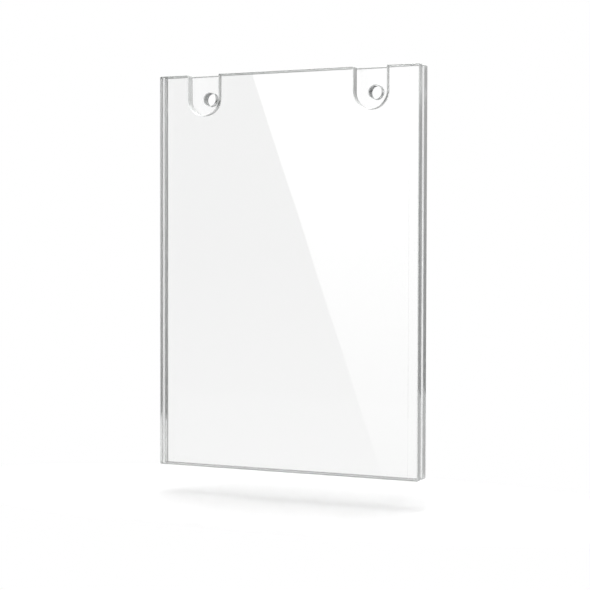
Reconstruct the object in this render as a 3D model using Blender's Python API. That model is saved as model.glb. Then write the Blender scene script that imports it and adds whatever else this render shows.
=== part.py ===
"""Clear acrylic wall sign holder for a 5 by 7 inch print.

Two polished acrylic sheets stand a print's thickness apart, on three clear
strips that run down both sides and along the bottom. The pocket between them
is open at the top. Two screws hold the back sheet to the wall, and the front
sheet is notched over each screw hole, so that a screw's head bears on the back
sheet alone and a screwdriver can reach it.

Units are metres and +Z is up. The origin is the middle of the back face, which
lies on the wall. The front faces -Y.
"""

import math

import bmesh
import bpy


# Sheets
PANEL_WIDTH = 0.140
PANEL_HEIGHT = 0.1985
FRONT_THICKNESS = 0.0050
BACK_THICKNESS = 0.0050
POCKET_DEPTH = 0.0020
EDGE_CHAMFER = 0.0003

# Strips between the sheets
SIDE_STRIP_WIDTH = 0.0057
BOTTOM_STRIP_WIDTH = 0.0032
STRIP_SETBACK = 0.0005
BOND_LINE = 0.0003

# Screw holes, and the notches in the front sheet that uncover them
SCREW_SPACING = 0.0920
SCREW_DROP = 0.0105
SCREW_HOLE_DIAMETER = 0.0065
HOLE_CHAMFER = 0.0004
NOTCH_WIDTH = 0.0170

# Facets of the round walls
HOLE_SIDES = 40
NOTCH_ARC_SIDES = 32
CUTTER_REACH = 0.0010

# Planes that the pieces share
WALL_Y = 0.0
POCKET_BACK_Y = WALL_Y - BACK_THICKNESS
POCKET_FRONT_Y = POCKET_BACK_Y - POCKET_DEPTH
FRONT_Y = POCKET_FRONT_Y - FRONT_THICKNESS
TOP_Z = PANEL_HEIGHT / 2
BOTTOM_Z = -PANEL_HEIGHT / 2
SIDE_X = PANEL_WIDTH / 2
SCREW_X = SCREW_SPACING / 2
SCREW_Z = TOP_Z - SCREW_DROP


def clear_scene():
    """Remove every object that the file opened with."""
    for item in list(bpy.data.objects):
        bpy.data.objects.remove(item, do_unlink=True)


def acrylic(name, tint):
    """A clear polished acrylic: colourless to faintly green, refractive index 1.49."""
    material = bpy.data.materials.new(name)
    material.use_nodes = True
    shader = material.node_tree.nodes["Principled BSDF"]
    shader.inputs["Base Color"].default_value = (*tint, 1.0)
    shader.inputs["Metallic"].default_value = 0.0
    shader.inputs["Roughness"].default_value = 0.02
    shader.inputs["IOR"].default_value = 1.49
    shader.inputs["Transmission Weight"].default_value = 1.0
    return material


def arc(centre_x, centre_z, radius, start, end, sides):
    """Points on a circle's arc in the XZ plane, both ends included; angles in degrees."""
    points = []
    for step in range(sides + 1):
        angle = math.radians(start + (end - start) * step / sides)
        points.append((centre_x + radius * math.cos(angle), centre_z + radius * math.sin(angle)))
    return points


def notch_outline(centre_x):
    """A round-bottomed notch walked from right to left, from the top edge down and back up."""
    radius = NOTCH_WIDTH / 2
    mouth_right = [(centre_x + radius, TOP_Z)]
    mouth_left = [(centre_x - radius, TOP_Z)]
    bottom = arc(centre_x, SCREW_Z, radius, 0, -180, NOTCH_ARC_SIDES)
    return mouth_right + bottom + mouth_left


def rectangle(x_low, x_high, z_low, z_high):
    """A rectangle's corners, anticlockwise as seen from the front."""
    return [(x_low, z_low), (x_high, z_low), (x_high, z_high), (x_low, z_high)]


def front_outline():
    """The front sheet's outline: the panel with a notch over each screw."""
    bottom = [(-SIDE_X, BOTTOM_Z), (SIDE_X, BOTTOM_Z)]
    top_right = [(SIDE_X, TOP_Z)]
    top_left = [(-SIDE_X, TOP_Z)]
    return bottom + top_right + notch_outline(SCREW_X) + notch_outline(-SCREW_X) + top_left


def add_plate(name, outline, y_front, y_back, material):
    """Fill an XZ outline at y_front and extrude it back to y_back as a closed plate."""
    mesh = bpy.data.meshes.new(name)
    work = bmesh.new()
    corners = [work.verts.new((x, y_front, z)) for x, z in outline]
    face = work.faces.new(corners)
    grown = bmesh.ops.extrude_face_region(work, geom=[face])
    moved = [item for item in grown["geom"] if isinstance(item, bmesh.types.BMVert)]
    bmesh.ops.translate(work, verts=moved, vec=(0.0, y_back - y_front, 0.0))
    bmesh.ops.recalc_face_normals(work, faces=work.faces)
    work.to_mesh(mesh)
    work.free()
    plate = bpy.data.objects.new(name, mesh)
    bpy.context.collection.objects.link(plate)
    mesh.materials.append(material)
    return plate


def chamfer_edges(plate, width):
    """Break the plate's sharp edges; the shallow steps of its arcs stay as they are."""
    bevel = plate.modifiers.new("polished_edge", "BEVEL")
    bevel.width = width
    bevel.segments = 1
    bevel.limit_method = "ANGLE"
    bevel.angle_limit = math.radians(40)
    return bevel


def add_hole_cutter(name, centre_x):
    """A turned cutter along Y: the screw hole's bore, flared at 45 degrees at both faces."""
    radius = SCREW_HOLE_DIAMETER / 2
    flare = radius + HOLE_CHAMFER + CUTTER_REACH
    profile = [
        (POCKET_BACK_Y - CUTTER_REACH, 0.0),
        (POCKET_BACK_Y - CUTTER_REACH, flare),
        (POCKET_BACK_Y + HOLE_CHAMFER, radius),
        (WALL_Y - HOLE_CHAMFER, radius),
        (WALL_Y + CUTTER_REACH, flare),
        (WALL_Y + CUTTER_REACH, 0.0),
    ]
    mesh = bpy.data.meshes.new(name)
    work = bmesh.new()
    verts = [work.verts.new((0.0, y, r)) for y, r in profile]
    edges = [work.edges.new(pair) for pair in zip(verts, verts[1:])]
    bmesh.ops.spin(
        work,
        geom=verts + edges,
        cent=(0.0, 0.0, 0.0),
        axis=(0.0, 1.0, 0.0),
        angle=math.tau,
        steps=HOLE_SIDES,
        use_merge=True,
    )
    bmesh.ops.remove_doubles(work, verts=work.verts, dist=1e-6)
    bmesh.ops.recalc_face_normals(work, faces=work.faces)
    work.to_mesh(mesh)
    work.free()
    cutter = bpy.data.objects.new(name, mesh)
    cutter.location = (centre_x, 0.0, SCREW_Z)
    cutter.hide_render = True
    cutter.display_type = "WIRE"
    bpy.context.collection.objects.link(cutter)
    return cutter


def drill(plate, cutter):
    """Cut one hole through the plate."""
    cut = plate.modifiers.new(cutter.name, "BOOLEAN")
    cut.operation = "DIFFERENCE"
    cut.solver = "EXACT"
    cut.object = cutter


def smooth_round_walls(plate):
    """Shade the arcs smooth and keep every real corner sharp."""
    plate.data.shade_smooth()
    plate.data.set_sharp_from_angle(angle=math.radians(30))


def build_front_panel(material):
    """The front sheet, open over both screws."""
    panel = add_plate("front_panel", front_outline(), FRONT_Y, POCKET_FRONT_Y, material)
    smooth_round_walls(panel)
    chamfer_edges(panel, EDGE_CHAMFER)
    return panel


def build_back_panel(material):
    """The back sheet, with a chamfered screw hole near each upper corner."""
    outline = rectangle(-SIDE_X, SIDE_X, BOTTOM_Z, TOP_Z)
    panel = add_plate("back_panel", outline, POCKET_BACK_Y, WALL_Y, material)
    chamfer_edges(panel, EDGE_CHAMFER)
    drill(panel, add_hole_cutter("left_hole_cutter", -SCREW_X))
    drill(panel, add_hole_cutter("right_hole_cutter", SCREW_X))
    return panel


def build_spacers(material):
    """The three strips that hold the sheets apart and wall the pocket in."""
    y_front = POCKET_FRONT_Y + BOND_LINE
    y_back = POCKET_BACK_Y - BOND_LINE
    outer_x = SIDE_X - STRIP_SETBACK
    inner_x = outer_x - SIDE_STRIP_WIDTH
    low_z = BOTTOM_Z + STRIP_SETBACK
    high_z = TOP_Z - STRIP_SETBACK
    left = rectangle(-outer_x, -inner_x, low_z, high_z)
    right = rectangle(inner_x, outer_x, low_z, high_z)
    end_x = inner_x - BOND_LINE
    bottom = rectangle(-end_x, end_x, low_z, low_z + BOTTOM_STRIP_WIDTH)
    return [
        add_plate("left_spacer", left, y_front, y_back, material),
        add_plate("right_spacer", right, y_front, y_back, material),
        add_plate("bottom_spacer", bottom, y_front, y_back, material),
    ]


def main():
    clear_scene()
    sheet = acrylic("cast_acrylic_sheet", (0.96, 0.98, 0.97))
    strip = acrylic("clear_acrylic_strip", (0.97, 0.98, 0.98))
    build_front_panel(sheet)
    build_back_panel(sheet.copy())
    build_spacers(strip)
    pocket_width = PANEL_WIDTH - 2 * (STRIP_SETBACK + SIDE_STRIP_WIDTH)
    pocket_height = PANEL_HEIGHT - STRIP_SETBACK - BOTTOM_STRIP_WIDTH
    print(f"pocket {pocket_width * 1000:.1f} by {pocket_height * 1000:.1f} mm")


main()
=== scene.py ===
# %% [markdown]
# # A clear acrylic sign holder, dressed round its CAD frame
#
# The holder is two polished acrylic sheets with three thin strips between them. A clear object has
# almost no colour of its own: what the eye reads is its edges, which gather light, and the faces,
# which mirror the room. This lesson therefore spends its effort on edges, on a studio to mirror
# and on a finish that stays clear.
#
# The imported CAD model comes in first. The sizes of the sheets and the strips are read from it,
# and every length here is in metres, as it is there.

# %% Load the frame
import math

import bpy
import numpy as np
from mathutils import Matrix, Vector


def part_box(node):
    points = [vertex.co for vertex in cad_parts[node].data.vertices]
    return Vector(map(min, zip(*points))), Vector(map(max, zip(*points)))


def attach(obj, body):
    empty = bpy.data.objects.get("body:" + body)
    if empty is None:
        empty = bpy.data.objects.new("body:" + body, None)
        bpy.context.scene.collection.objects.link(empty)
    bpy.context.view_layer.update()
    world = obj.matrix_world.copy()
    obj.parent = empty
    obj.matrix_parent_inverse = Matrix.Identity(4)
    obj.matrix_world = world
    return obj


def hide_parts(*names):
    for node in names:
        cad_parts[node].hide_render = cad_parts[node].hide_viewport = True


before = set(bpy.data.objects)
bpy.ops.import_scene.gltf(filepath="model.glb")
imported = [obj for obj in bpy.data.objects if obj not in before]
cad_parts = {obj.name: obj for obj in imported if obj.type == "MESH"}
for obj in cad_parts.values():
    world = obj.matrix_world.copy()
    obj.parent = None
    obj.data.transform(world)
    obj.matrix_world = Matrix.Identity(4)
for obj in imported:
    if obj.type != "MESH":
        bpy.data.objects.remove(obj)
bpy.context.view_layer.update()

scene = bpy.context.scene


def in_mm(lengths):
    """Lengths in millimetres, rounded for printing."""
    return [round(length * 1000, 2) for length in lengths]


# %% [markdown]
# ## Where the sheets lie
#
# The wall is the plane y = 0 and the front faces -Y. The planes between wall and front are the
# faces of the two sheets, and the strips' own boxes say how wide they are. A box says nothing of
# the round shapes inside it, so the radii of the holes and the notches repeat the CAD model's
# values. The screw places are measured in the photograph: they lie 1.0 mm further in and 1.5 mm
# lower than in the CAD model.

# %% Read the planes, and give the screw places
FRONT_LOW, FRONT_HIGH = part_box("front_panel")
BACK_LOW, BACK_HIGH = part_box("back_panel")
LEFT_LOW, LEFT_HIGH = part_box("left_spacer")
RIGHT_LOW, RIGHT_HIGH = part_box("right_spacer")
BASE_LOW, BASE_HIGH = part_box("bottom_spacer")

SIDE_X = FRONT_HIGH.x
TOP_Z = FRONT_HIGH.z
FRONT_Y = FRONT_LOW.y
POCKET_FRONT_Y = FRONT_HIGH.y
POCKET_BACK_Y = BACK_LOW.y
WALL_Y = BACK_HIGH.y

SCREW_X = 0.0450
SCREW_DROP = 0.0120
SCREW_Z = TOP_Z - SCREW_DROP
SCREW_HOLE_RADIUS = 0.00325
NOTCH_RADIUS = 0.0085
print("front sheet, pocket and back sheet in millimetres:",
      in_mm([POCKET_FRONT_Y - FRONT_Y, POCKET_BACK_Y - POCKET_FRONT_Y, WALL_Y - POCKET_BACK_Y]))

# %% [markdown]
# ## The camera
#
# A product photographer stands a little to the right of the holder and slightly above its middle,
# far enough away for calm perspective. The place and the turn were fitted to the six corners that
# can be seen, so a render lies over the real view corner by corner.

# %% Place the camera
CAMERA_PLACE = (0.3007, -0.6650, 0.0105)
CAMERA_YAW = math.radians(24.290)
CAMERA_TILT = math.radians(-1.735)
CAMERA_ROLL = math.radians(-0.128)
CAMERA_LENS_MM = 89.0
SENSOR_WIDTH_MM = 36.0
NEAREST_SEEN = 0.01

camera_data = bpy.data.cameras.new("studio_camera")
camera_data.lens = CAMERA_LENS_MM
camera_data.sensor_width = SENSOR_WIDTH_MM
camera_data.clip_start = NEAREST_SEEN
camera = bpy.data.objects.new("studio_camera", camera_data)
scene.collection.objects.link(camera)
upright = Matrix.Rotation(math.radians(90), 4, "X")
heading = (
    Matrix.Rotation(CAMERA_YAW, 4, "Z")
    @ Matrix.Rotation(CAMERA_TILT, 4, "X")
    @ Matrix.Rotation(CAMERA_ROLL, 4, "Y")
)
camera.matrix_world = Matrix.Translation(CAMERA_PLACE) @ heading @ upright
scene.camera = camera
scene.view_settings.view_transform = "Standard"
print("camera lens", CAMERA_LENS_MM, "mm")

# %% [markdown]
# ## Outlines as arrays
#
# Every piece here is a flat plate. Its outline is a chain of arcs: small ones round the corners,
# large ones round a notch's foot. The straight runs need no points of their own, because they join
# the end of one arc to the start of the next. Each point carries the direction that leads out of
# the acrylic, which later lets one function roll the edge over.

# %% An arc
CORNER_STEPS = 8


def bend(centre_x, centre_z, radius, start, end, steps, hollow=False):
    """Points on an arc with their outward directions, as one array of x, z, out_x, out_z.

    A point is the centre plus the radius times the cosine and sine of the angle. Outward is that
    same cosine and sine, and the opposite where the acrylic lies outside the arc.
    """
    angle = np.radians(np.linspace(start, end, steps + 1))
    spoke = np.stack([np.cos(angle), np.sin(angle)], axis=1)
    place = np.array([centre_x, centre_z]) + radius * spoke
    return np.hstack([place, -spoke if hollow else spoke])


CORNER_POINTS = len(bend(0.0, 0.0, 1.0, 0, 90, CORNER_STEPS))
print("a corner has", CORNER_POINTS, "points")


# %% Four arcs make a rectangle
def rectangle(low_x, high_x, low_z, high_z, radius, waist_z=None):
    """A rectangle with rounded corners, walked anticlockwise from its right side.

    waist_z adds a point on each side at that height, where a face is to be divided.
    """
    corners = [
        bend(high_x - radius, high_z - radius, radius, 0, 90, CORNER_STEPS),
        bend(low_x + radius, high_z - radius, radius, 90, 180, CORNER_STEPS),
        bend(low_x + radius, low_z + radius, radius, 180, 270, CORNER_STEPS),
        bend(high_x - radius, low_z + radius, radius, 270, 360, CORNER_STEPS),
    ]
    if waist_z is None:
        return np.vstack(corners)
    right = np.array([[high_x, waist_z, 1.0, 0.0]])
    left = np.array([[low_x, waist_z, -1.0, 0.0]])
    return np.vstack([right, corners[0], corners[1], left, corners[2], corners[3]])


CORNER_RADIUS = 0.0006
sheet_outline = rectangle(-SIDE_X, SIDE_X, -TOP_Z, TOP_Z, CORNER_RADIUS)
print("a plain sheet's outline has", len(sheet_outline), "points")

# %% [markdown]
# ## Rolling the edge
#
# A sawn acrylic edge is flame polished or buffed, which rounds its corners by a few tenths of a
# millimetre. The band round a plate is the outline carried along a small profile: a quarter circle
# in from the front face, the straight wall, and a quarter circle to the back face. At each profile
# point the outline moves inwards by the profile's inset, against its outward direction.

# %% The edge's profile
ROLL_STEPS = 6
EDGE_ROLL = 0.0004


def edge_profile(y_front, y_back, roll):
    """Rows of (inset, y) from the front face to the back face.

    Along the front quarter circle the inset is roll times (1 - sine) and the depth is roll times
    (1 - cosine), for angles from 0 to 90 degrees. The back one is its mirror image.
    """
    angle = np.linspace(0.0, np.pi / 2, ROLL_STEPS + 1)
    inset = roll * (1.0 - np.sin(angle))
    depth = roll * (1.0 - np.cos(angle))
    front = np.stack([inset, y_front + depth], axis=1)
    back = np.stack([inset, y_back - depth], axis=1)[::-1]
    return np.vstack([front, back])


print("profile rows:", len(edge_profile(FRONT_Y, POCKET_FRONT_Y, EDGE_ROLL)))


# %% The band round a plate
def band_points(outline, profile):
    """Profile by outline grid of points: place minus inset times the outward direction."""
    place, outward = outline[:, :2], outline[:, 2:]
    inset, y = profile[:, 0], profile[:, 1]
    flat = place[None] - inset[:, None, None] * outward[None]
    depth = np.broadcast_to(y[:, None, None], flat.shape[:2] + (1,))
    return np.concatenate([flat[..., :1], depth, flat[..., 1:]], axis=2)


def band_quads(rows, columns, first):
    """Corner numbers of a band's quads, closed round the outline, facing out of the acrylic.

    Point (row, column) has the number first plus row times columns plus column, and the column
    after the last is the first one again.
    """
    row, column = np.meshgrid(np.arange(rows - 1), np.arange(columns), indexing="ij")
    beside = (column + 1) % columns
    here = first + row * columns
    below = first + (row + 1) * columns
    quads = np.stack([here + column, below + column, below + beside, here + beside], axis=-1)
    return quads.reshape(-1, 4)


print("quads round a plain sheet:", len(band_quads(2 * (ROLL_STEPS + 1), len(sheet_outline), 0)))

# %% [markdown]
# ## Two effects that acrylic surfaces share
#
# A saw leaves fine lines straight across the edge, from one face to the other, and the buffing
# wheel that follows draws streaks along it. Both are noise: squeezed one way and stretched the
# other. Cast sheet, on the other hand, is never optically flat: very slow, shallow waves bend its
# reflections a little. Both effects are node groups, so that each material only chooses how strong
# they are.

# %% Start a node group
def new_group(name, inputs, outputs):
    """A shader node group with the named sockets, and its own input and output nodes."""
    group = bpy.data.node_groups.new(name, "ShaderNodeTree")
    for label, kind in inputs:
        group.interface.new_socket(name=label, in_out="INPUT", socket_type=kind)
    for label, kind in outputs:
        group.interface.new_socket(name=label, in_out="OUTPUT", socket_type=kind)
    print("group", name, "takes", [label for label, _ in inputs], "and gives",
          [label for label, _ in outputs])
    return group, group.nodes.new("NodeGroupInput"), group.nodes.new("NodeGroupOutput")


# %% Saw lines and streaks
NOISE_DETAIL = 3.0
NOISE_ROUGHNESS = 0.65
NOISE_LOW, NOISE_HIGH = 0.35, 0.65
ACROSS_THE_EDGE = (1.0, 0.03, 1.0)
ALONG_THE_EDGE = (0.01, 1.0, 0.01)


def stretched_noise(group, given, squeeze):
    """Noise on the given place times squeeze, and the same noise spread to the range 0 to 1."""
    scaled = group.nodes.new("ShaderNodeVectorMath")
    scaled.operation = "MULTIPLY"
    scaled.inputs[1].default_value = squeeze
    noise = group.nodes.new("ShaderNodeTexNoise")
    noise.inputs["Detail"].default_value = NOISE_DETAIL
    noise.inputs["Roughness"].default_value = NOISE_ROUGHNESS
    spread = group.nodes.new("ShaderNodeMapRange")
    spread.inputs["From Min"].default_value = NOISE_LOW
    spread.inputs["From Max"].default_value = NOISE_HIGH
    link = group.links.new
    link(given.outputs["Vector"], scaled.inputs[0])
    link(scaled.outputs["Vector"], noise.inputs["Vector"])
    link(given.outputs["Lines per metre"], noise.inputs["Scale"])
    link(noise.outputs["Fac"], spread.inputs["Value"])
    return noise.outputs["Fac"], spread.outputs["Result"]


def machined_lines_group():
    """Saw lines across an edge as a height, and a mask that mixes them with streaks along it.

    The lines are noise on x and z, stretched along y. The streaks are noise on y, stretched along
    x and z. The mask is the lines plus the streaks' share of the way from lines to streaks.
    """
    group, given, result = new_group(
        "machined_lines",
        [("Vector", "NodeSocketVector"), ("Lines per metre", "NodeSocketFloat"),
         ("Streaks", "NodeSocketFloat")],
        [("Height", "NodeSocketFloat"), ("Mask", "NodeSocketFloat")],
    )
    height, lines = stretched_noise(group, given, ACROSS_THE_EDGE)
    _, streaks = stretched_noise(group, given, ALONG_THE_EDGE)
    mix = group.nodes.new("ShaderNodeMix")
    link = group.links.new
    link(given.outputs["Streaks"], mix.inputs["Factor"])
    link(lines, mix.inputs["A"])
    link(streaks, mix.inputs["B"])
    link(height, result.inputs["Height"])
    link(mix.outputs["Result"], result.inputs["Mask"])
    return group


MACHINED_LINES = machined_lines_group()

# %% Waves of cast sheet
WAVES_PER_METRE = 22.0
WAVES_DETAIL = 1.0


def cast_waves_group():
    """Slow waves of a cast sheet: low noise as a height, and as a haze from none to the most."""
    group, given, result = new_group(
        "cast_waves",
        [("Vector", "NodeSocketVector"), ("Most haze", "NodeSocketFloat")],
        [("Height", "NodeSocketFloat"), ("Haze", "NodeSocketFloat")],
    )
    waves = group.nodes.new("ShaderNodeTexNoise")
    waves.inputs["Scale"].default_value = WAVES_PER_METRE
    waves.inputs["Detail"].default_value = WAVES_DETAIL
    haze = group.nodes.new("ShaderNodeMapRange")
    link = group.links.new
    link(given.outputs["Vector"], waves.inputs["Vector"])
    link(waves.outputs["Fac"], result.inputs["Height"])
    link(waves.outputs["Fac"], haze.inputs["Value"])
    link(given.outputs["Most haze"], haze.inputs["To Max"])
    link(haze.outputs["Result"], result.inputs["Haze"])
    return group


CAST_WAVES = cast_waves_group()

# %% [markdown]
# ## Clear faces
#
# The polished face is plain glass-like acrylic with a refractive index of 1.49. A surface that is
# merely half transparent would render faster, but it would neither bend the light nor mirror the
# room, and a clear sheet can be seen by little else.
#
# The strips are a special case. Cement fills the space between a strip and a sheet, so that light
# passes from one to the other as if they were one piece. A strip with the full refractive index
# and a hair of air on each side would mirror instead. So a strip's faces are given an index close
# to 1, which lets light pass.

# %% Polished faces
ACRYLIC_IOR = 1.49
CEMENTED_IOR = 1.03
FACE_TINT = (0.998, 0.999, 0.998)
FACE_HAZE = 0.006
WAVE_STRENGTH = 0.02
WAVE_DEPTH = 0.0005


def new_material(name, index, clearness):
    """A material with its tree, its shader, how clear it is, and the object's own coordinates."""
    material = bpy.data.materials.new(name)
    material.use_nodes = True
    tree = material.node_tree
    shader = tree.nodes["Principled BSDF"]
    shader.inputs["Metallic"].default_value = 0.0
    shader.inputs["IOR"].default_value = index
    shader.inputs["Transmission Weight"].default_value = clearness
    place = tree.nodes.new("ShaderNodeTexCoord").outputs["Object"]
    return material, tree, shader, place


def polished_face(name, index=ACRYLIC_IOR):
    """Optically clear acrylic: full transmission, slow waves and a faint haze."""
    material, tree, shader, place = new_material(name, index, 1.0)
    shader.inputs["Base Color"].default_value = (*FACE_TINT, 1.0)
    waves = tree.nodes.new("ShaderNodeGroup")
    waves.node_tree = CAST_WAVES
    waves.inputs["Most haze"].default_value = FACE_HAZE
    bump = tree.nodes.new("ShaderNodeBump")
    bump.inputs["Strength"].default_value = WAVE_STRENGTH
    bump.inputs["Distance"].default_value = WAVE_DEPTH
    link = tree.links.new
    link(place, waves.inputs["Vector"])
    link(waves.outputs["Haze"], shader.inputs["Roughness"])
    link(waves.outputs["Height"], bump.inputs["Height"])
    link(bump.outputs["Normal"], shader.inputs["Normal"])
    return material


front_face = polished_face("front_face")
back_face = polished_face("back_face")
strip_face = polished_face("strip_face", CEMENTED_IOR)
print("faces:", front_face.name, back_face.name, strip_face.name)

# %% [markdown]
# ## Milky walls
#
# A buffed edge is half clear and half milky, with fine lines and streaks left in its surface. It
# shows as a dark line, because the light that it throws back from inside comes from a darker part
# of the room. A painted grey edge would be easier to control, but it would lose the streaks and
# bright spots that the inside reflections draw. A perfectly clear one would turn nearly black
# here, because a renderer gives up on light that is thrown to and fro many times.
#
# The top edge has darker tones than the sides, a painted shade for its dark line, and the routed notches
# are milkier and lighter.
# The two bores keep the duller, greyer wall that a drill leaves. A strip's sawn outer wall is
# clearer than the others, and it has the strip's own index.

# %% Sawn, routed and drilled walls
LINES_PER_METRE = 900.0
STREAK_SHARE = 0.88
LINE_STRENGTH = 0.02
LINE_DEPTH = 0.00005


def edge_wall(name, clearness, roughness, light, dark, index=ACRYLIC_IOR):
    """A cut wall, more or less clear, whose fine lines differ in tone and in roughness.

    Tone and roughness follow the lines' mask: at 0 the dark tone and the lower roughness, at 1
    the light tone and the higher one.
    """
    material, tree, shader, place = new_material(name, index, clearness)
    lines = tree.nodes.new("ShaderNodeGroup")
    lines.node_tree = MACHINED_LINES
    lines.inputs["Lines per metre"].default_value = LINES_PER_METRE
    lines.inputs["Streaks"].default_value = STREAK_SHARE
    shade = tree.nodes.new("ShaderNodeMix")
    shade.data_type = "RGBA"
    shade.inputs["A"].default_value = (*dark, 1.0)
    shade.inputs["B"].default_value = (*light, 1.0)
    rough = tree.nodes.new("ShaderNodeMapRange")
    rough.inputs["To Min"].default_value = roughness[0]
    rough.inputs["To Max"].default_value = roughness[1]
    bump = tree.nodes.new("ShaderNodeBump")
    bump.inputs["Strength"].default_value = LINE_STRENGTH
    bump.inputs["Distance"].default_value = LINE_DEPTH
    link = tree.links.new
    link(place, lines.inputs["Vector"])
    link(lines.outputs["Mask"], shade.inputs["Factor"])
    link(shade.outputs["Result"], shader.inputs["Base Color"])
    link(lines.outputs["Mask"], rough.inputs["Value"])
    link(rough.outputs["Result"], shader.inputs["Roughness"])
    link(lines.outputs["Height"], bump.inputs["Height"])
    link(bump.outputs["Normal"], shader.inputs["Normal"])
    return material


SAWN = dict(clearness=0.52, roughness=(0.02, 0.12), light=(0.99, 0.995, 0.99), dark=(0.62, 0.64, 0.63))
# Painted shade: the top edge gets darker tones than the sides, so that the lamp above can't light its
# line.
TOP_PAINTED_SHADE = dict(clearness=0.45, roughness=(0.02, 0.12), light=(0.78, 0.79, 0.78), dark=(0.50, 0.52, 0.51))
ROUTED = dict(clearness=0.40, roughness=(0.05, 0.20), light=(0.99, 0.995, 0.99), dark=(0.88, 0.90, 0.89))
DRILLED = dict(clearness=0.55, roughness=(0.10, 0.30), light=(0.80, 0.81, 0.81), dark=(0.52, 0.54, 0.54))
CLEARER = dict(clearness=0.70, roughness=(0.05, 0.15), light=(0.92, 0.93, 0.93), dark=(0.82, 0.83, 0.83))
front_wall = edge_wall("front_wall", **SAWN)
back_wall = edge_wall("back_wall", **SAWN)
top_wall_painted_shade = edge_wall("top_wall_painted_shade", **TOP_PAINTED_SHADE)
notch_wall = edge_wall("notch_wall", **ROUTED)
bore_wall = edge_wall("bore_wall", **DRILLED)
strip_wall = edge_wall("strip_wall", **CLEARER, index=CEMENTED_IOR)
print("materials:", len(bpy.data.materials))

# %% [markdown]
# ## From arrays to a closed plate
#
# The band closes the rim, and each flat face is one large polygon. The rim of a flat face is
# marked sharp, so that the smooth shading of the rolled edge never leaks onto the flat and bends
# its reflections. Every plate's materials come in the same order: face, wall, cut and top.

# %% Build a plate's mesh
FACE_SLOT, WALL_SLOT, CUT_SLOT, TOP_SLOT = range(4)
CUBIC_CM_IN_A_CUBIC_METRE = 1e6


def volume_of(mesh):
    """Signed volume: a sixth of the sum of the triple products. Positive if faces point out."""
    mesh.calc_loop_triangles()
    corners = np.empty(len(mesh.loop_triangles) * 3, np.int32)
    mesh.loop_triangles.foreach_get("vertices", corners)
    places = np.empty(len(mesh.vertices) * 3)
    mesh.vertices.foreach_get("co", places)
    triangles = places.reshape(-1, 3)[corners.reshape(-1, 3)]
    return float(np.linalg.det(triangles).sum() / 6.0)


def add_plate(name, points, quads, flats, finishes, quad_slots):
    """Make the mesh object of a plate: quads form its walls and flats are its large polygons.

    finishes are its materials in slot order, and quad_slots names the slot of each quad.
    """
    mesh = bpy.data.meshes.new(name)
    mesh.from_pydata(points.tolist(), [], quads.tolist() + flats)
    for finish in finishes:
        mesh.materials.append(finish)
    is_flat = np.arange(len(mesh.polygons)) >= len(quads)
    mesh.polygons.foreach_set("use_smooth", ~is_flat)
    slots = np.full(len(mesh.polygons), FACE_SLOT)
    slots[:len(quads)] = quad_slots
    mesh.polygons.foreach_set("material_index", slots)
    on_rim = np.zeros(len(points), bool)
    on_rim[np.concatenate([np.array(flat) for flat in flats])] = True
    ends = np.empty(len(mesh.edges) * 2, np.int32)
    mesh.edges.foreach_get("vertices", ends)
    mesh.edges.foreach_set("use_edge_sharp", on_rim[ends.reshape(-1, 2)].all(axis=1))
    mesh.update()
    plate = bpy.data.objects.new(name, mesh)
    scene.collection.objects.link(plate)
    print(name, round(volume_of(mesh) * CUBIC_CM_IN_A_CUBIC_METRE, 3), "cubic centimetres")
    return plate


print("slots: face", FACE_SLOT, "wall", WALL_SLOT, "cut", CUT_SLOT, "top", TOP_SLOT)

# %% [markdown]
# ## The front sheet
#
# The front sheet's outline drops into a round-bottomed notch over each screw. Seen along the walk,
# the mouth's two corners are outside corners and the foot is one hollow half circle. A notch could
# also be cut with a Boolean, but then its edge would need a second rolled band of its own. Each
# stretch of wall gets its finish by where it lies: in a notch, along the top, or anywhere else.

# %% The front sheet's outline
FOOT_STEPS = 64


def notch(centre_x):
    """A notch walked from its right wall to its left: corner, hollow half circle, corner."""
    reach = NOTCH_RADIUS + CORNER_RADIUS
    shoulder = TOP_Z - CORNER_RADIUS
    return [
        bend(centre_x + reach, shoulder, CORNER_RADIUS, 90, 180, CORNER_STEPS),
        bend(centre_x, SCREW_Z, NOTCH_RADIUS, 0, -180, FOOT_STEPS, hollow=True),
        bend(centre_x - reach, shoulder, CORNER_RADIUS, 0, 90, CORNER_STEPS),
    ]


notches = np.vstack([*notch(SCREW_X), *notch(-SCREW_X)])
front_outline = np.vstack([sheet_outline[:CORNER_POINTS], notches, sheet_outline[CORNER_POINTS:]])
print("front outline:", len(front_outline), "points")

# %% Front sheet
TOP_LINE = TOP_Z - CORNER_RADIUS / 4
INSIDE_NOTCH = NOTCH_RADIUS + CORNER_RADIUS / 2


def outer_walls(outline):
    """The slot of each stretch of outer wall: the top's above the top line, else the sides'."""
    return np.where(outline[:, 1] > TOP_LINE, TOP_SLOT, WALL_SLOT)


def whole_plate(name, outline, y_front, y_back, roll, finishes, wall_slots):
    """A plate with no holes: one band and two polygons.

    wall_slots names the slot of each stretch of wall, from one point of the outline to the next.
    """
    points = band_points(outline, edge_profile(y_front, y_back, roll))
    rows, columns = points.shape[:2]
    quads = band_quads(rows, columns, 0)
    near = list(range(columns))
    far = [(rows - 1) * columns + i for i in range(columns)][::-1]
    quad_slots = np.tile(wall_slots, rows - 1)
    return add_plate(name, points.reshape(-1, 3), quads, [near, far], finishes, quad_slots)


front_walls = outer_walls(front_outline)
off_centre = np.abs(np.abs(front_outline[:, 0]) - SCREW_X)
front_walls[(off_centre < INSIDE_NOTCH) & (front_outline[:, 1] > 0.0)] = CUT_SLOT
front_sheet = whole_plate("front_sheet", front_outline, FRONT_Y, POCKET_FRONT_Y, EDGE_ROLL,
                          [front_face, front_wall, notch_wall, top_wall_painted_shade], front_walls)

# %% [markdown]
# ## The back sheet
#
# The back sheet is a plain rectangle with two screw holes, whose mouths are rolled as a
# countersink does when it breaks the corner. A polygon can't have a hole in it, so each face is
# divided along the line through both screw centres: the upper half walks over the holes, and the
# lower half walks under them.

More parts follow.
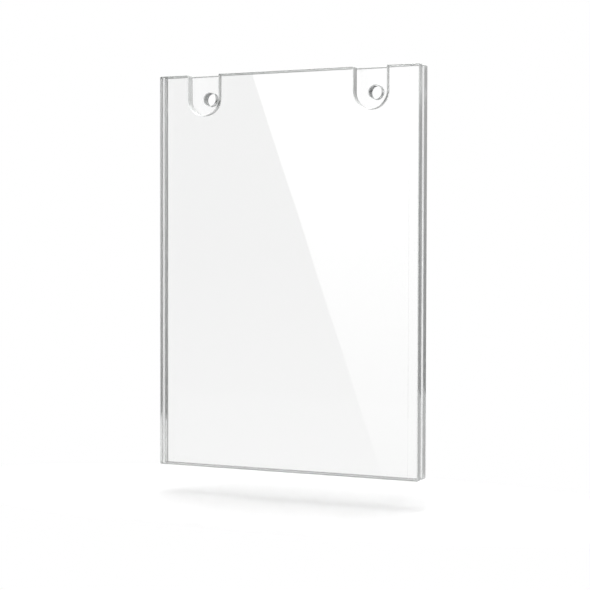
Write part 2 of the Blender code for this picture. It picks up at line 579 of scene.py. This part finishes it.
# %% Back sheet
HOLE_STEPS = 96
HOLE_MOUTH = 0.0004
LEFT_WAIST = 1 + 2 * CORNER_POINTS


def drilled_plate(name, outline, holes, y_front, y_back, finishes, wall_slots):
    """A plate with two holes: each face is an upper and a lower polygon that meet at the waist.

    The outline's right waist point has the number 0, and its left one the number LEFT_WAIST. A
    hole's points run clockwise from its left, so the first half is its upper side. wall_slots
    names the slot of each stretch of the outer wall.
    """
    rims = [band_points(outline, edge_profile(y_front, y_back, EDGE_ROLL))]
    rims += [band_points(hole, edge_profile(y_front, y_back, HOLE_MOUTH)) for hole in holes]
    starts = np.cumsum([0] + [rim.shape[0] * rim.shape[1] for rim in rims])
    quads = np.vstack([band_quads(*rim.shape[:2], first) for rim, first in zip(rims, starts)])
    outer_slots = np.tile(wall_slots, rims[0].shape[0] - 1)
    quad_slots = np.concatenate([outer_slots, np.full(len(quads) - len(outer_slots), CUT_SLOT)])
    points = np.vstack([rim.reshape(-1, 3) for rim in rims])
    flats = []
    for row in (0, rims[0].shape[0] - 1):
        rim, left, right = [list(range(s + row * r.shape[1], s + (row + 1) * r.shape[1]))
                            for r, s in zip(rims, starts)]
        half = len(left) // 2
        upper = rim[:LEFT_WAIST + 1] + left[:half + 1] + right[:half + 1]
        lower = rim[LEFT_WAIST:] + rim[:1] + right[half:] + right[:1] + left[half:] + left[:1]
        flats += [upper, lower] if row == 0 else [upper[::-1], lower[::-1]]
    return add_plate(name, points, quads, flats, finishes, quad_slots)


screw_holes = [
    bend(x, SCREW_Z, SCREW_HOLE_RADIUS, 180, -180, HOLE_STEPS, hollow=True)[:-1]
    for x in (-SCREW_X, SCREW_X)
]
back_outline = rectangle(-SIDE_X, SIDE_X, -TOP_Z, TOP_Z, CORNER_RADIUS, waist_z=SCREW_Z)
back_sheet = drilled_plate("back_sheet", back_outline, screw_holes, POCKET_BACK_Y, WALL_Y,
                           [back_face, back_wall, bore_wall, top_wall_painted_shade], outer_walls(back_outline))

# %% [markdown]
# ## The three strips
#
# Each strip is cemented to both sheets. In the CAD a 0.3 mm space stands for the cement. Here the
# strip reaches to within a hair of both faces, so that no gap shows in the side view. Only the
# wall that lies open to the outside gets the sawn finish.

# %% Strips
CEMENT_FILM = 0.00003
STRIP_ROLL = 0.00008
STRIP_CORNER = 0.0002
LEANS_OPEN = 0.5


def strip(name, low, high, reach_x, open_side):
    """A strip on its CAD box, grown to the sheets' faces and, by reach_x, to its neighbours.

    Its wall is sawn where its outward directions lean to open_side, given as x and z, by more
    than half. The other walls face the pocket or another strip, and stay clear.
    """
    outline = rectangle(low.x - reach_x, high.x + reach_x, low.z, high.z, STRIP_CORNER)
    lean = outline[:, 2:] @ np.array(open_side)
    lies_open = (lean > LEANS_OPEN) & (np.roll(lean, -1) > LEANS_OPEN)
    wall_slots = np.where(lies_open, WALL_SLOT, FACE_SLOT)
    return whole_plate(name, outline, POCKET_FRONT_Y + CEMENT_FILM, POCKET_BACK_Y - CEMENT_FILM,
                       STRIP_ROLL, [strip_face, strip_wall], wall_slots)


left_strip = strip("left_strip", LEFT_LOW, LEFT_HIGH, 0.0, (-1.0, 0.0))
right_strip = strip("right_strip", RIGHT_LOW, RIGHT_HIGH, 0.0, (1.0, 0.0))
base_gap = BASE_LOW.x - LEFT_HIGH.x - CEMENT_FILM
bottom_strip = strip("bottom_strip", BASE_LOW, BASE_HIGH, base_gap, (0.0, -1.0))

# %% [markdown]
# ## Put each piece in the CAD part's place
#
# Each piece rides the one body and stands for its CAD node, which is hidden.

# %% Ride and replace
PIECES = [
    (front_sheet, "front_panel", "front_acrylic"),
    (back_sheet, "back_panel", "back_acrylic"),
    (left_strip, "left_spacer", "strip_acrylic"),
    (right_strip, "right_spacer", "strip_acrylic"),
    (bottom_strip, "bottom_spacer", "strip_acrylic"),
]
for piece, node, slot in PIECES:
    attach(piece, "root")
    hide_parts(node)
print("pieces:", ", ".join(piece.name for piece, _, _ in PIECES))

# %% [markdown]
# ## The studio that the faces mirror
#
# A polished face of acrylic mirrors about four percent of the room, and the holder has four such
# faces. In front stands a tall bright panel, whose straight edge the faces repeat as a diagonal.
# Behind hangs a backdrop: nearly black low down, grey at the level of the eye and lighter above.
# The panels could be modelled and lit, but then they would show in other views. So the studio is
# written as a function of direction in the world shader, where the panel is one side of a great
# circle. Heights are sines of the angle above the level of the eye.

# %% Helpers for shader values
def remap(tree, source, from_low, from_high, to_low=0.0, to_high=1.0, smooth=False):
    """A Map Range node from one range to another, clamped at both ends."""
    node = tree.nodes.new("ShaderNodeMapRange")
    node.interpolation_type = "SMOOTHSTEP" if smooth else "LINEAR"
    for label, value in zip(("From Min", "From Max", "To Min", "To Max"),
                            (from_low, from_high, to_low, to_high)):
        node.inputs[label].default_value = value
    tree.links.new(source, node.inputs["Value"])
    return node.outputs["Result"]


def along(tree, direction, axis):
    """How far the direction points along an axis: their dot product."""
    node = tree.nodes.new("ShaderNodeVectorMath")
    node.operation = "DOT_PRODUCT"
    node.inputs[1].default_value = axis
    tree.links.new(direction, node.inputs[0])
    return node.outputs["Value"]


def blend(tree, factor, low, high):
    """A plain mix of two values, low where the factor is 0 and high where it is 1."""
    node = tree.nodes.new("ShaderNodeMix")
    for source, socket in ((factor, "Factor"), (low, "A"), (high, "B")):
        if isinstance(source, float):
            node.inputs[socket].default_value = source
        else:
            tree.links.new(source, node.inputs[socket])
    return node.outputs["Result"]


world = bpy.data.worlds.new("studio")
world.use_nodes = True
scene.world = world
sky = world.node_tree
print("world:", world.name)

# %% The room in front and the backdrop behind
PANEL_EDGE = (0.8707, -0.3826, 0.3090)
EDGE_SOFTNESS = 0.0008
FRONT_FOOT, PANEL_HEAD = -0.15, 0.10
ROOM_LOW, ROOM_HIGH = 0.50, 0.29
PANEL_LOW, PANEL_HIGH = 0.62, 1.35
BACKDROP_FOOT, BACKDROP_HEAD = -0.12, 0.14
BACKDROP_BELOW, BACKDROP_LEVEL, BACKDROP_ABOVE = 0.05, 0.40, 0.70
SIDE_SOFTNESS = 0.05

look = sky.nodes.new("ShaderNodeTexCoord").outputs["Generated"]
height = along(sky, look, (0.0, 0.0, 1.0))
panel_side = remap(sky, along(sky, look, PANEL_EDGE), -EDGE_SOFTNESS, EDGE_SOFTNESS)
panel_light = remap(sky, height, FRONT_FOOT, PANEL_HEAD, PANEL_LOW, PANEL_HIGH)
room_light = remap(sky, height, FRONT_FOOT, 0.0, ROOM_LOW, ROOM_HIGH)
room = blend(sky, panel_side, room_light, panel_light)

rising = remap(sky, height, BACKDROP_FOOT, 0.0, BACKDROP_BELOW, BACKDROP_LEVEL)
backdrop = blend(sky, remap(sky, height, 0.0, BACKDROP_HEAD), rising, BACKDROP_ABOVE)
behind = remap(sky, along(sky, look, (0.0, 1.0, 0.0)), -SIDE_SOFTNESS, SIDE_SOFTNESS)
studio = blend(sky, behind, room, backdrop)
print("studio nodes:", len(sky.nodes))

# %% [markdown]
# ## Who sees the studio
#
# Seen directly, or straight through the acrylic, the background is plain white. Only light that a
# surface has mirrored finds the studio. Its shading is what draws the edges, and it lets the side
# walls run from a lighter grey at the top to a darker one in the middle. Light that falls on the
# floor and on the milky walls comes from an even grey, dim enough to let the lamp's shadow show.

# %% Sort the rays
ONCE_MIRRORED = (0.4, 0.6)
EVEN_GREY = 0.58

light_path = sky.nodes.new("ShaderNodeLightPath")
mirrored = remap(sky, light_path.outputs["Glossy Depth"], *ONCE_MIRRORED)
seen = blend(sky, mirrored, 1.0, studio)
lit = blend(sky, light_path.outputs["Is Diffuse Ray"], seen, EVEN_GREY)
final = blend(sky, light_path.outputs["Is Camera Ray"], lit, 1.0)
background = sky.nodes["Background"]
background.inputs["Strength"].default_value = 1.0
sky.links.new(final, background.inputs["Color"])
print("world nodes:", len(sky.nodes))

# %% [markdown]
# ## Soft light from above
#
# One lamp hangs over the holder, narrow from side to side and deep from front to back: its depth
# melts the shadow of the thin edge, and its narrowness keeps the shadow's two ends. An area lamp
# that isn't turned shines straight down.

# %% Lamp
LAMP_WIDTH = 0.36
LAMP_DEPTH = 0.90
LAMP_HEIGHT = 0.75
LAMP_POWER = 9.3

lamp_data = bpy.data.lights.new("top_lamp", "AREA")
lamp_data.shape = "RECTANGLE"
lamp_data.size = LAMP_WIDTH
lamp_data.size_y = LAMP_DEPTH
lamp_data.energy = LAMP_POWER
top_lamp = bpy.data.objects.new("top_lamp", lamp_data)
top_lamp.location = (0.0, (FRONT_Y + WALL_Y) / 2, LAMP_HEIGHT)
scene.collection.objects.link(top_lamp)
print("lamp", LAMP_POWER, "watts, at", in_mm(top_lamp.location), "mm")

# %% [markdown]
# ## A floor to catch the shadow
#
# The floor lies a little below the holder, which hangs over it as it would on a wall. It is pale
# and translucent, like marble or wax, so light spreads in it and softens the shadow further.
# Towards an oval rim it turns plain white for camera rays, so that its edge can't be seen. Rays
# that come from the acrylic meet plain white at once: a floor line that ran through a clear sheet
# would look like a crack.

# %% The floor's surface
FLOOR_DROP = 0.0146
FLOOR_HALF = 0.45
FLOOR_FRONT_Y = -0.10
FLOOR_CELLS = 24

across = np.linspace(-FLOOR_HALF, FLOOR_HALF, FLOOR_CELLS + 1)
backwards = np.linspace(FLOOR_FRONT_Y, FLOOR_HALF, FLOOR_CELLS + 1)
floor_x, floor_y = np.meshgrid(across, backwards, indexing="ij")
floor_z = np.full_like(floor_x, -TOP_Z - FLOOR_DROP)
floor_points = np.stack([floor_x, floor_y, floor_z], axis=-1).reshape(-1, 3)
row, column = np.meshgrid(np.arange(FLOOR_CELLS), np.arange(FLOOR_CELLS), indexing="ij")
stride = FLOOR_CELLS + 1
first = row * stride + column
floor_quads = np.stack([first, first + stride, first + stride + 1, first + 1], axis=-1).reshape(-1, 4)
floor_mesh = bpy.data.meshes.new("studio_floor")
floor_mesh.from_pydata(floor_points.tolist(), [], floor_quads.tolist())
studio_floor = bpy.data.objects.new("studio_floor", floor_mesh)
scene.collection.objects.link(studio_floor)
print("floor", in_mm([2 * FLOOR_HALF, FLOOR_DROP]), "mm: its width and how far below it lies")

# %% A translucent floor
FLOOR_TONE = 0.8
FLOOR_BLUR = 0.080

floor_material = bpy.data.materials.new("studio_floor")
floor_material.use_nodes = True
floor_tree = floor_material.node_tree
floor_shader = floor_tree.nodes["Principled BSDF"]
floor_shader.inputs["Base Color"].default_value = (FLOOR_TONE, FLOOR_TONE, FLOOR_TONE, 1.0)
floor_shader.inputs["Roughness"].default_value = 1.0
floor_shader.inputs["Specular IOR Level"].default_value = 0.0
floor_shader.subsurface_method = "BURLEY"
floor_shader.inputs["Subsurface Weight"].default_value = 1.0
floor_shader.inputs["Subsurface Radius"].default_value = (1.0, 1.0, 1.0)
floor_shader.inputs["Subsurface Scale"].default_value = FLOOR_BLUR
floor_mesh.materials.append(floor_material)
print("light spreads", FLOOR_BLUR * 1000, "mm in the floor")

# %% A rim of plain white
RIM_START, RIM_END = 0.060, 0.095
RIM_SQUEEZE = (0.45, 1.0, 0.0)


def either(tree, first_mask, second_mask):
    """The larger of two masks."""
    node = tree.nodes.new("ShaderNodeMath")
    node.operation = "MAXIMUM"
    tree.links.new(first_mask, node.inputs[0])
    tree.links.new(second_mask, node.inputs[1])
    return node.outputs["Value"]


floor_place = floor_tree.nodes.new("ShaderNodeTexCoord").outputs["Object"]
oval = floor_tree.nodes.new("ShaderNodeVectorMath")
oval.operation = "MULTIPLY"
oval.inputs[1].default_value = RIM_SQUEEZE
from_middle = floor_tree.nodes.new("ShaderNodeVectorMath")
from_middle.operation = "LENGTH"
floor_tree.links.new(floor_place, oval.inputs[0])
floor_tree.links.new(oval.outputs["Vector"], from_middle.inputs[0])
rim = remap(floor_tree, from_middle.outputs["Value"], RIM_START, RIM_END, smooth=True)

floor_path = floor_tree.nodes.new("ShaderNodeLightPath").outputs
rim_seen = blend(floor_tree, floor_path["Is Camera Ray"], 0.0, rim)
in_acrylic = either(floor_tree, floor_path["Is Glossy Ray"], floor_path["Is Transmission Ray"])
plain_white = floor_tree.nodes.new("ShaderNodeEmission")
choose = floor_tree.nodes.new("ShaderNodeMixShader")
floor_output = floor_tree.nodes["Material Output"]
floor_tree.links.new(either(floor_tree, in_acrylic, rim_seen), choose.inputs["Fac"])
floor_tree.links.new(floor_shader.outputs["BSDF"], choose.inputs[1])
floor_tree.links.new(plain_white.outputs["Emission"], choose.inputs[2])
floor_tree.links.new(choose.outputs["Shader"], floor_output.inputs["Surface"])
print("floor nodes:", len(floor_tree.nodes))
